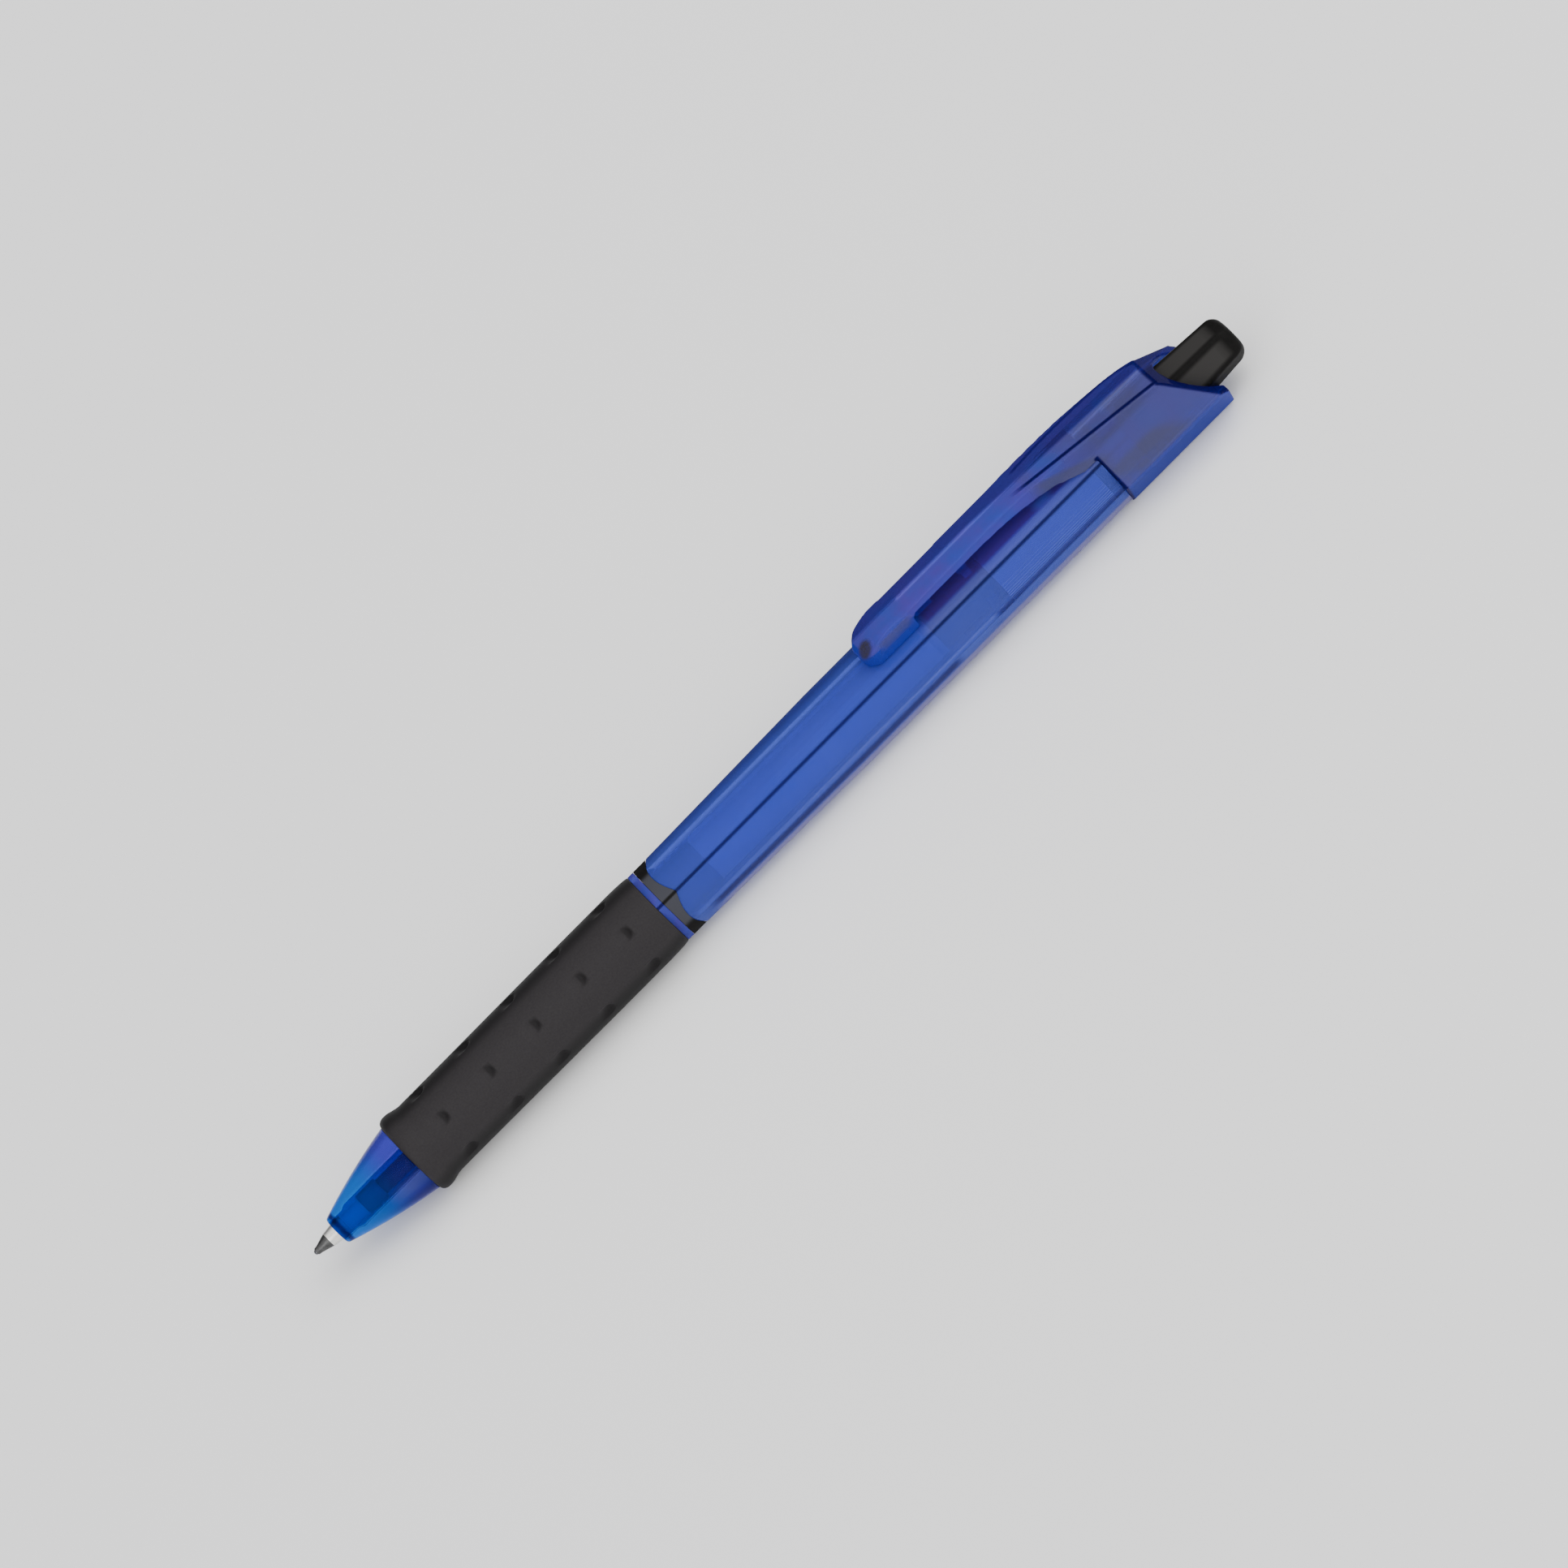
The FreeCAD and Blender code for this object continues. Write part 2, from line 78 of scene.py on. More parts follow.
# ---- Shapes of the surfaces, in millimetres ------------------------------------------------
FACET_SHARE = 0.84         # height of a barrel side as a share of the radius to its edges
EDGE_RADIUS_LOW = 4.82
EDGE_RADIUS_HIGH = 5.24
TAPER_START = 53.9
TAPER_END = 82.0
BARREL_BORE = 3.45
NECK_RADIUS = 4.0          # of the barrel's neck inside the head
SEAM_STATION = 55.9        # where the conical seam crosses the middle of a side
SEAM_SLOPE = 1.10
GRIP_BORE = 4.0
GRIP_NECK = 4.95
GRIP_BODY = 5.03
DIMPLE_ROWS = 6
DIMPLES_PER_ROW = 5
DIMPLE_FIRST = 20.4
DIMPLE_PITCH = 7.15
DIMPLE_HALF_WIDTH = 0.95
DIMPLE_HALF_LENGTH = 1.45
DIMPLE_DEPTH = 0.42
DIMPLE_TURN = math.radians(38.3)    # first row of dimples, from the top towards the front
HOUSING_LENGTH = 15.9      # from the barrel's flat sides to the head's far end
MOUTH_STATION = 138.3      # where the slanted mouth crosses the pen's axis
MOUTH_SLANT = math.radians(-40.0)
FLANGE_TOP = 54.75         # end of the front section's collar, just before the ring
CLIP_SHADE_START = 96.5    # behind the clip's foot
PLUNGER_FRONT = 103.1      # where the black plunger begins inside the barrel
PICTURE_SHARE = 1.2063     # width of the picture as a multiple of the pen's length


def station(x):
    """Millimetres from the writing ball to a place along the pen."""
    return (x - TIP_X) / MM


def place(along, radius, angle):
    """Point at a station and radius in millimetres, angle from the top towards the front."""
    return Vector((TIP_X + along * MM,
                   -radius * MM * math.sin(angle),
                   AXIS_Z + radius * MM * math.cos(angle)))


def smooth_step(low, high, value):
    """Eased rise from 0 at low to 1 at high; low may be the larger of the two."""
    share = min(max((value - low) / (high - low), 0.0), 1.0)
    return share * share * (3 - 2 * share)


def hill(value, middle, width):
    """1 near middle, with eased flanks that reach 0 at width to either side."""
    return 1 - smooth_step(0.5 * width, width, abs(value - middle))


def toward_far_side(y, z):
    """Millimetres from the axis in the direction up and away from the front."""
    return (y + z) / math.sqrt(2)


# ---- Mesh helpers --------------------------------------------------------------------------
def new_object(name, mesh):
    obj = bpy.data.objects.new(name, mesh)
    bpy.context.scene.collection.objects.link(obj)
    return obj


def finish_mesh(name, rings, closed_loop, crease=35.0):
    """Skin a list of rings of points. closed_loop joins the last ring to the first."""
    verts = [p for ring in rings for p in ring]
    count = len(rings[0])
    faces = []
    spans = len(rings) if closed_loop else len(rings) - 1
    for i in range(spans):
        here = i * count
        there = ((i + 1) % len(rings)) * count
        for j in range(count):
            k = (j + 1) % count
            faces.append((here + j, here + k, there + k, there + j))
    mesh = bpy.data.meshes.new(name)
    mesh.from_pydata(verts, [], faces)
    work = bmesh.new()
    work.from_mesh(mesh)
    bmesh.ops.remove_doubles(work, verts=work.verts, dist=1e-7)
    bmesh.ops.dissolve_degenerate(work, edges=work.edges, dist=1e-8)
    bmesh.ops.recalc_face_normals(work, faces=work.faces)
    work.to_mesh(mesh)
    work.free()
    mesh.polygons.foreach_set("use_smooth", [True] * len(mesh.polygons))
    mesh.set_sharp_from_angle(angle=math.radians(crease))
    return new_object(name, mesh)


def soften(obj, width, segments=3, angle=28.0):
    """Round the sharp edges of a piece by a small radius in millimetres."""
    bevel = obj.modifiers.new("rounded edges", "BEVEL")
    bevel.width = width * MM
    bevel.segments = segments
    bevel.limit_method = "ANGLE"
    bevel.angle_limit = math.radians(angle)
    bevel.harden_normals = True
    return obj


def turned(name, profile, segments=144, crease=35.0):
    """Piece turned about the pen's axis from a closed profile of (station, radius)."""
    rings = []
    for along, radius in profile:
        rings.append([place(along, radius, 2 * math.pi * j / segments)
                      for j in range(segments)])
    return finish_mesh(name, rings, closed_loop=True, crease=crease)


def arc_points(start, middle, end, steps):
    """Points on the circle through three (station, radius) points, ends included."""
    (ax, ay), (bx, by), (cx, cy) = start, middle, end
    d = 2 * (ax * (by - cy) + bx * (cy - ay) + cx * (ay - by))
    ux = ((ax * ax + ay * ay) * (by - cy) + (bx * bx + by * by) * (cy - ay)
          + (cx * cx + cy * cy) * (ay - by)) / d
    uy = ((ax * ax + ay * ay) * (cx - bx) + (bx * bx + by * by) * (ax - cx)
          + (cx * cx + cy * cy) * (bx - ax)) / d
    radius = math.hypot(ax - ux, ay - uy)
    first = math.atan2(ay - uy, ax - ux)
    turn_middle = (math.atan2(by - uy, bx - ux) - first) % (2 * math.pi)
    turn_end = (math.atan2(cy - uy, cx - ux) - first) % (2 * math.pi)
    if turn_middle > turn_end:
        turn_end -= 2 * math.pi
    return [(ux + radius * math.cos(first + turn_end * i / steps),
             uy + radius * math.sin(first + turn_end * i / steps)) for i in range(steps + 1)]


def side_radius(angle, edge_radius):
    """Radius of the four-sided section: convex sides that meet in small rounded edges."""
    sharp = edge_radius + 0.10
    facet = edge_radius * FACET_SHARE
    half_chord = sharp * math.sin(math.pi / 4)
    sagitta = facet - sharp * math.cos(math.pi / 4)
    bulge = (half_chord ** 2 + sagitta ** 2) / (2 * sagitta)
    centre = facet - bulge
    turn = (angle + math.pi / 4) % (math.pi / 2) - math.pi / 4
    plain = centre * math.cos(turn) + math.sqrt(bulge ** 2 - (centre * math.sin(turn)) ** 2)
    blend = 0.10
    over = plain - edge_radius
    return plain - (over + math.sqrt(over * over + blend * blend * 0.05)) / 2


def section_angles(per_side=40):
    """Angles round the section, crowded towards the four edges."""
    angles = []
    for side in range(4):
        for step in range(per_side):
            share = 2.0 * step / per_side - 1.0
            pushed = math.copysign(1 - (1 - abs(share)) ** 1.9, share)
            angles.append((side + 0.5 * pushed) * math.pi / 2)
    return angles


def edge_radius_at(along):
    share = (along - TAPER_START) / (TAPER_END - TAPER_START)
    share = min(max(share, 0.0), 1.0)
    eased = share - 0.09 * math.sin(2 * math.pi * share) / (2 * math.pi)
    return EDGE_RADIUS_LOW + (EDGE_RADIUS_HIGH - EDGE_RADIUS_LOW) * eased


def seam_station(radius):
    """Station of the conical seam between ring and barrel at a radius."""
    return SEAM_STATION + (radius - EDGE_RADIUS_LOW * FACET_SHARE) * SEAM_SLOPE


def paint(obj, name, value_at):
    """Store one number a vertex, found from its place on the pen, for the materials."""
    layer = obj.data.attributes.new(name, "FLOAT", "POINT")
    values = [value_at(station(v.co.x), v.co.y / MM, (v.co.z - AXIS_Z) / MM)
              for v in obj.data.vertices]
    layer.data.foreach_set("value", values)


# ---- Materials -----------------------------------------------------------------------------
def material(name, base, spread, grain, bump, roughness, roughness_spread=0.0):
    """Principled material with fine position-based colour variation and a bumped surface.

    base and spread are the two ends of the colour variation, grain is its size in
    millimetres, bump the depth of the surface grain in millimetres.
    """
    mat = bpy.data.materials.new(name)
    mat.use_nodes = True
    nodes = mat.node_tree.nodes
    links = mat.node_tree.links
    shader = nodes["Principled BSDF"]
    place_node = nodes.new("ShaderNodeTexCoord")
    noise = nodes.new("ShaderNodeTexNoise")
    noise.inputs["Scale"].default_value = 1.0 / (grain * MM)
    noise.inputs["Detail"].default_value = 5.0
    links.new(place_node.outputs["Object"], noise.inputs["Vector"])
    ramp = nodes.new("ShaderNodeValToRGB")
    ramp.color_ramp.elements[0].position = 0.3
    ramp.color_ramp.elements[0].color = (*base, 1)
    ramp.color_ramp.elements[1].position = 0.75
    ramp.color_ramp.elements[1].color = (*spread, 1)
    links.new(noise.outputs["Fac"], ramp.inputs["Fac"])
    links.new(ramp.outputs["Color"], shader.inputs["Base Color"])
    if roughness_spread:
        span = nodes.new("ShaderNodeMapRange")
        span.inputs["To Min"].default_value = roughness - roughness_spread
        span.inputs["To Max"].default_value = roughness + roughness_spread
        links.new(noise.outputs["Fac"], span.inputs["Value"])
        links.new(span.outputs["Result"], shader.inputs["Roughness"])
    else:
        shader.inputs["Roughness"].default_value = roughness
    if bump:
        surface = nodes.new("ShaderNodeBump")
        surface.inputs["Strength"].default_value = 1.0
        surface.inputs["Distance"].default_value = bump * MM
        links.new(noise.outputs["Fac"], surface.inputs["Height"])
        links.new(surface.outputs["Normal"], shader.inputs["Normal"])
    return mat, shader


def mixed_in(mat, factor, colour):
    """Mix a second colour over the present base colour, by a factor socket."""
    shader = mat.node_tree.nodes["Principled BSDF"]
    links = mat.node_tree.links
    present = shader.inputs["Base Color"].links[0].from_socket
    mix = mat.node_tree.nodes.new("ShaderNodeMix")
    mix.data_type = "RGBA"
    mix.inputs["B"].default_value = (*colour, 1)
    links.new(factor, mix.inputs["Factor"])
    links.new(present, mix.inputs["A"])
    links.new(mix.outputs["Result"], shader.inputs["Base Color"])


def along_pen(mat, low, high):
    """Factor that rises from 0 to 1 between two distances from the ball."""
    nodes = mat.node_tree.nodes
    where = nodes.new("ShaderNodeSeparateXYZ")
    mat.node_tree.links.new(nodes["Texture Coordinate"].outputs["Object"],
                            where.inputs["Vector"])
    span = nodes.new("ShaderNodeMapRange")
    span.inputs["From Min"].default_value = TIP_X + low * MM
    span.inputs["From Max"].default_value = TIP_X + high * MM
    mat.node_tree.links.new(where.outputs["X"], span.inputs["Value"])
    return span.outputs["Result"]


def attribute(mat, name):
    node = mat.node_tree.nodes.new("ShaderNodeAttribute")
    node.attribute_name = name
    return node.outputs["Fac"]


def blue_material(name, base, spread, transmission, ior, tints, grain=9.0):
    """Clear moulded polycarbonate, tinted dark blue, with a polished surface.

    tints are pairs of a mesh attribute, which runs from 0 to 1, and the colour that it
    brings in. The last of them is always the painted shade: 0 where none is painted, 1 on
    the corners, roots and edges that are painted darkest.
    """
    mat, shader = material(name, base, spread, grain=grain, bump=0.0, roughness=0.06,
                           roughness_spread=0.02)
    shader.inputs["IOR"].default_value = ior
    shader.inputs["Specular Tint"].default_value = (0.34, 0.40, 0.85, 1)
    shader.inputs["Transmission Weight"].default_value = transmission
    # The last tint is the painted shade.
    for layer, colour in tints + [("painted_shade", (0.009, 0.005, 0.100))]:
        mixed_in(mat, attribute(mat, layer), colour)
    return mat


def barrel_blue():
    # The pale tint is painted light, and the violet one is the painted shadow of the clip.
    return blue_material("translucent_blue_barrel", (0.080, 0.128, 0.640),
                         (0.095, 0.145, 0.660), 0.72, 1.25,
                         [("pale", (0.360, 0.330, 0.640)), ("violet", (0.100, 0.040, 0.330))])


def nose_blue():
    """The nose is brighter near its mouth and more violet near the grip."""
    # The pale tint is a painted light stripe.
    return blue_material("translucent_blue_nose", (0.005, 0.130, 0.580),
                         (0.008, 0.145, 0.600), 0.92, 1.12,
                         [("violet", (0.060, 0.060, 0.520)), ("pale", (0.360, 0.450, 0.850))])


def head_blue():
    """The thick moulding of housing and clip has grey, smoky and violet zones, with painted shade at its
    edges and in dark spots.
    """
    return blue_material("translucent_blue_head", (0.070, 0.105, 0.550),
                         (0.125, 0.085, 0.480), 0.60, 1.06,
                         [("clear", (0.026, 0.050, 0.460)), ("grey", (0.110, 0.112, 0.320)),
                          ("smoky", (0.115, 0.118, 0.215)), ("painted_shade_spots", (0.075, 0.068, 0.085))],
                         grain=3.0)


def rubber_material():
    """Black moulded grip rubber with a fine matte grain, and painted shade in its dimples and on its
    flanks.
    """
    mat, shader = material("black_grip_rubber", (0.0195, 0.0176, 0.0190),
                           (0.0245, 0.0225, 0.0238), grain=0.22, bump=0.006, roughness=0.58,
                           roughness_spread=0.06)
    shader.inputs["IOR"].default_value = 1.20
    # Painted shade in the dimples and on the flanks.
    mixed_in(mat, attribute(mat, "painted_dimple_shade"), (0.0030, 0.0028, 0.0030))
    return mat


def black_plastic_material(name, sides):
    """Satin black moulded plastic; painted light makes its flat sides paler than its corners."""
    mat, shader = material(name, (0.0062, 0.0060, 0.0058),
                           (0.0085, 0.0080, 0.0078), grain=0.5, bump=0.002, roughness=0.46,
                           roughness_spread=0.05)
    shader.inputs["IOR"].default_value = 1.10
    # Painted light on the flat sides.
    mixed_in(mat, attribute(mat, "flat"), sides)
    return mat


def grey_plastic_material():
    mat, _ = material("grey_acetal", (0.10, 0.10, 0.11), (0.14, 0.14, 0.15),
                      grain=0.8, bump=0.002, roughness=0.45)
    return mat


def milky_plastic_material():
    """Frosted polypropylene of the refill's tube, slightly uneven."""
    mat, shader = material("frosted_refill_tube", (0.74, 0.78, 0.86), (0.80, 0.84, 0.90),
                           grain=3.0, bump=0.001, roughness=0.40)
    shader.inputs["Subsurface Weight"].default_value = 0.3
    shader.inputs["Subsurface Scale"].default_value = 0.001
    return mat


def adapter_material():
    """Clear adapter: blue near the point, and dark where the ink shows in its feed."""
    mat, _ = material("tinted_adapter_plastic", (0.300, 0.750, 0.780),
                      (0.330, 0.800, 0.820), grain=1.5, bump=0.001, roughness=0.35)
    mixed_in(mat, along_pen(mat, 7.6, 7.7), (0.110, 0.070, 0.220))
    mixed_in(mat, along_pen(mat, 10.4, 10.6), (0.003, 0.001, 0.030))
    return mat


def pale_plastic_material():
    mat, _ = material("pale_plug_plastic", (0.42, 0.50, 0.66), (0.48, 0.56, 0.70),
                      grain=1.5, bump=0.001, roughness=0.35)
    return mat


def ink_material():
    mat, _ = material("blue_gel_ink", (0.010, 0.020, 0.26), (0.014, 0.030, 0.34),
                      grain=2.0, bump=0.0, roughness=0.10)
    return mat


def grease_material():
    mat, _ = material("follower_grease", (0.72, 0.74, 0.66), (0.78, 0.80, 0.72),
                      grain=1.0, bump=0.0, roughness=0.15)
    return mat


def metal_material(name, base, spread, roughness):
    """Turned metal, with fine rings left by the tool."""
    mat, shader = material(name, base, spread, grain=0.3, bump=0.0, roughness=roughness)
    shader.inputs["Metallic"].default_value = 1.0
    nodes = mat.node_tree.nodes
    links = mat.node_tree.links
    rings = nodes.new("ShaderNodeTexWave")
    rings.wave_type = "BANDS"
    rings.bands_direction = "X"
    rings.inputs["Scale"].default_value = 1.0 / (0.35 * MM)
    rings.inputs["Distortion"].default_value = 1.5
    place_node = nodes.new("ShaderNodeTexCoord")
    links.new(place_node.outputs["Object"], rings.inputs["Vector"])
    surface = nodes.new("ShaderNodeBump")
    surface.inputs["Distance"].default_value = 0.002 * MM
    links.new(rings.outputs["Fac"], surface.inputs["Height"])
    links.new(surface.outputs["Normal"], shader.inputs["Normal"])
    return mat


BLUE = barrel_blue()
NOSE_BLUE = nose_blue()
HEAD_BLUE = head_blue()
RUBBER = rubber_material()
# The two black plastics differ only in the painted light on their flat sides.
BLACK = black_plastic_material("black_satin_plastic", (0.0290, 0.0278, 0.0270))
RING_BLACK = black_plastic_material("black_ring_plastic", (0.0440, 0.0450, 0.0540))
GREY = grey_plastic_material()
MILKY = milky_plastic_material()
ADAPTER = adapter_material()
PALE = pale_plastic_material()
INK = ink_material()
GREASE = grease_material()
STEEL = metal_material("turned_steel", (0.06, 0.06, 0.06), (0.10, 0.10, 0.10), 0.38)
NICKEL = metal_material("nickel_silver", (0.70, 0.69, 0.66), (0.80, 0.79, 0.76), 0.24)
CARBIDE = metal_material("carbide_ball", (0.08, 0.08, 0.09), (0.12, 0.12, 0.13), 0.20)


def dress(obj, mat):
    obj.data.materials.clear()
    obj.data.materials.append(mat)
    return obj


def install(obj, body, mat, slot, *nodes):
    """Give a piece its material and body, and hide the CAD nodes that it stands for; the slot is not
    used.
    """
    dress(obj, mat)
    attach(obj, body)
    if nodes:
        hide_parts(*nodes)
    return obj


# ---- Tints by place on the pen, painted light and shade among them -------------------------
def nose_painted_shade(along, y, z):
    """Painted shade: a dark ring where the bore steps down behind the mouth, and darker flanks near the
    grip.
    """
    flank = smooth_step(0.70, 0.84, abs(toward_far_side(y, z)) / math.hypot(y, z))
    return max(0.9 * hill(along, 4.15, 0.45), 0.52 * flank * smooth_step(7.0, 12.0, along))


def nose_painted_light(along, y, z):
    """Painted light: a stripe along the lower front side, as the pen lies."""
    across = -toward_far_side(y, z) / math.hypot(y, z)
    return 0.24 * hill(across, 0.50, 0.24) * smooth_step(9.5, 13.0, along)


def nose_violet(along, y, z):
    return smooth_step(8.5, 13.5, along)


def barrel_painted_shade(along, y, z):
    """Painted shade darkens the barrel's corners, and the upper one is the darkest.

    A painted dark stripe runs low on both flanks, and steps up where the black plunger begins.
    """
    corner = 0.9 * (1 - smooth_step(0.10, 0.26, abs(abs(y) - abs(z)) / math.sqrt(2)))
    upper = 0.55 * smooth_step(5.6, 6.9, z + y)
    if abs(y) <= 3.6:
        return max(corner, upper)
    height = -1.85 if along < PLUNGER_FRONT else -0.92
    stripe = 0.8 * hill(z, height, 0.62) * smooth_step(57.5, 60.0, along)
    stripe *= max(1 - smooth_step(CLIP_SHADE_START, CLIP_SHADE_START + 0.5, along),
                  smooth_step(PLUNGER_FRONT - 0.2, PLUNGER_FRONT + 0.2, along))
    return max(corner, upper, stripe)


def under_clip(along):
    """Rises from 0 to 1 where the clip's foot ends and its shade begins."""
    return smooth_step(CLIP_SHADE_START, CLIP_SHADE_START + 0.3, along)


def barrel_clip_shadow(along, y, z):
    """Shade of the clip on the sides below it, with one bright spot near its root."""
    inner = z - abs(y)
    if inner < 0:
        return 0.0
    shade = 0.95 * smooth_step(1.55, 1.85, inner) * under_clip(along)
    return shade * (1 - 0.9 * hill(along, 115.8, 1.6) * hill(inner, 2.5, 0.8))


def barrel_painted_light(along, y, z):
    """Light gathers along the two lower corners and beside the shade of the clip."""
    if z > 0:
        return max(0.30 * hill(z - abs(y), 0.95, 0.95), 0.06) * under_clip(along)
    if abs(y) < 3.3:
        return 0.0
    return 0.9 * smooth_step(2.45, 2.75, -z) * smooth_step(57.5, 62.0, along)


def head_painted_shade(along, y, z):
    """Painted shade at the mouth, the clip's root, the housing's end and the far upper edge."""
    mouth = MOUTH_STATION + z * math.tan(MOUTH_SLANT)
    rim = 1 - smooth_step(0.15, 0.45, mouth - along)
    root = hill((z - abs(y)) / math.sqrt(2), 3.75 - 0.118 * (along - 119.9), 0.24)
    root *= smooth_step(113.0, 116.0, along) * (1 - smooth_step(134.0, 135.0, along))
    if z < 0:
        root = 0.0
    end = hill(along, 123.25, 0.40) if z < 4.4 else 0.0
    return max(rim, root, end, 0.80 * head_crown(along, y, z))


def head_crown(along, y, z):
    """1 along the far upper edge of clip and housing, where shade is painted."""
    crown = 7.9 - 0.058 * max(0.0, along - 108.0)
    return smooth_step(crown - 0.3, crown + 0.3, y + z)


def head_clear(along, y, z):
    """Clear blue parts of the head: the clip's foot and the housing's lower sides."""
    foot = 0.9 * smooth_step(6.35, 6.15, z) * smooth_step(97.0, 96.6, along)
    below = 0.9 * smooth_step(0.1, -0.2, z) * smooth_step(122.8, 123.2, along)
    return max(foot, below)


def head_grey(along, y, z):
    """The housing's upper sides are greyer than the clip, apart from two bluer zones."""
    bluer = max(0.7 * hill(along, 126.6, 2.4) * hill(z, 0.75, 0.6),
                0.7 * hill(along, 126.4, 1.8) * hill(z, 6.6, 1.3))
    share = smooth_step(117.0, 124.5, along) * smooth_step(-0.2, 0.1, z)
    return 0.78 * share * (1 - head_crown(along, y, z)) * (1 - bluer)


def head_smoke(along, y, z):
    """Smoky zones: behind the clip's tip, the fairing's root and the housing's sides."""
    tip = 0.6 * hill(along, 94.0, 3.0) * hill(z, 6.3, 0.9)
    root = 0.8 * hill(along, 120.0, 5.5) * hill(z - 0.42 * (121 - along), 4.2, 1.7)
    upper = 0.45 * hill(along, 128.0, 5.0) * hill(z, 6.0, 1.6)
    side = 0.8 * hill(along, 130.0 - 1.6 * z, 5.5) * hill(z, 1.3, 1.6)
    return max(tip, root, upper, side) * (1 - head_crown(along, y, z))


def head_painted_shade_spots(along, y, z):
    """Painted shade: dark grey spots on the corners of the clip's tip and where the fairing ends."""
    tip = hill(math.dist((along, y, z), (90.2, -0.9, 6.7)), 0.0, 1.5)
    end = 0.9 * hill(math.dist((along, abs(y), z), (123.2, 3.0, 3.3)), 0.0, 0.9)
    return max(tip, end)


# ---- Front section -------------------------------------------------------------------------
def nose_shell():
    """Nose, the sleeve under the grip, and the threaded spigot, turned in one piece.

    Inside, the bore narrows at the return spring's seat and again behind the mouth.
    """
    start = station(nose_low.x)
    shoulder = station(grip_low.x)
    seat = 16.2
    bore = 2.95
    ridges = 4
    pitch = 1.25
    spigot = station(nose_high.x)
    crest = BARREL_BORE - 0.10
    root = crest - 0.22
    profile = arc_points((start + 0.02, 1.42), (start + 0.06, 1.68), (start + 0.28, 1.86), 8)
    profile += arc_points((start + 0.28, 1.86), (9.0, 3.37), (shoulder - 0.05, 4.62), 40)[1:]
    profile += [(shoulder - 0.05, GRIP_BORE), (FLANGE_TOP, GRIP_BORE), (FLANGE_TOP, root)]
    for i in range(ridges):
        turn = spigot - 0.9 - pitch * (ridges - 1 - i)
        profile += [(turn - 0.45, root), (turn - 0.15, crest), (turn + 0.15, crest),
                    (turn + 0.45, root)]
    profile += [(spigot, root), (spigot, bore), (seat, bore), (seat, 1.6), (6.2, 1.6),
                (5.6, 1.3), (start + 0.02, 1.3)]
    nose = turned("nose_shell", profile)
    # Painted shade, a painted light stripe, and a turn to violet near the grip.
    paint(nose, "painted_shade", nose_painted_shade)
    paint(nose, "pale", nose_painted_light)
    paint(nose, "violet", nose_violet)
    return install(soften(nose, 0.06), "front", NOSE_BLUE, "blue_shell", "nose_cone")


def front_flange():
    """Four-sided collar of the front section that shows as a thin band above the grip."""
    low = station(grip_high.x) + 0.03
    high = FLANGE_TOP + 0.02
    angles = section_angles()
    rings = []
    for along, outer in ((low, False), (low, True), (high, True), (high, False)):
        radius_at = edge_radius_at(along)
        rings.append([place(along, side_radius(a, radius_at) if outer else 4.02, a)
                      for a in angles])
    flange = finish_mesh("front_flange", rings, closed_loop=True)
    # Painted shade on the collar's corners, as on the barrel.
    paint(flange, "painted_shade", barrel_painted_shade)
    return install(soften(flange, 0.05, 2), "front", HEAD_BLUE, "blue_shell")


def quarter_round(share):
    """Falls from 1 to 0 along a quarter of a circle while share goes from 0 to 1."""
    return 1 - math.sqrt(max(0.0, 1 - (1 - min(share, 1.0)) ** 2))


def grip_outline(along):
    """Outer radius of the grip: flared lip, neck, plain length and rounded upper end."""
    start = station(grip_low.x)
    end = station(grip_high.x)
    lip = GRIP_RADIUS / MM - GRIP_NECK
    from_start = along - start
    radius = GRIP_NECK + (GRIP_BODY - GRIP_NECK) * smooth_step(start + 4, end - 8, along)
    radius += lip * (1 - smooth_step(1.1, 3.1, from_start))
    radius -= 0.62 * quarter_round(from_start / 0.9)
    radius -= 0.24 * quarter_round((end - along) / 3.2)
    return radius


def dimple_place(along, angle, radius):
    """Place in the nearest dimple: across and ahead run from -1 to 1 over its oval."""
    index = min(max(round((along - DIMPLE_FIRST) / DIMPLE_PITCH), 0), DIMPLES_PER_ROW - 1)
    step = 2 * math.pi / DIMPLE_ROWS
    turn = (angle - DIMPLE_TURN + step / 2) % step - step / 2
    across = turn * radius / DIMPLE_HALF_WIDTH
    return across, (along - DIMPLE_FIRST - DIMPLE_PITCH * index) / DIMPLE_HALF_LENGTH


def dimple_depth(along, angle, radius):
    """Depth of the oval scoops, deepest towards the button."""
    across, ahead = dimple_place(along, angle, radius)
    edge = 0.93 * math.sqrt(max(0.0, 1 - across * across))
    if edge <= 0 or ahead <= -1 or ahead >= 1:
        return 0.0
    scoop = smooth_step(-1.0, 0.55, ahead) * (1 - smooth_step(0.55 * edge, edge + 0.05, ahead))
    return DIMPLE_DEPTH * scoop * (1 - across * across)


def dimple_shade(along, y, z):
    """Painted shade on the steep wall at the button's end of each scoop, and on the flanks."""
    radius = math.hypot(y, z)
    flank = 0.80 * smooth_step(0.62, 0.92, abs(toward_far_side(y, z)) / radius)
    across, ahead = dimple_place(along, math.atan2(-y, z), radius)
    if abs(across) >= 1:
        return flank
    return max(flank, 0.55 * (1 - across * across) * hill(ahead, 0.58, 0.42))


def crowded_share(share):
    """Share of the grip's length, with the rings crowded towards both of its ends."""
    return (share - 0.16 * math.sin(4 * math.pi * share) / (4 * math.pi)
            - 0.5 * math.sin(2 * math.pi * share) / (2 * math.pi))


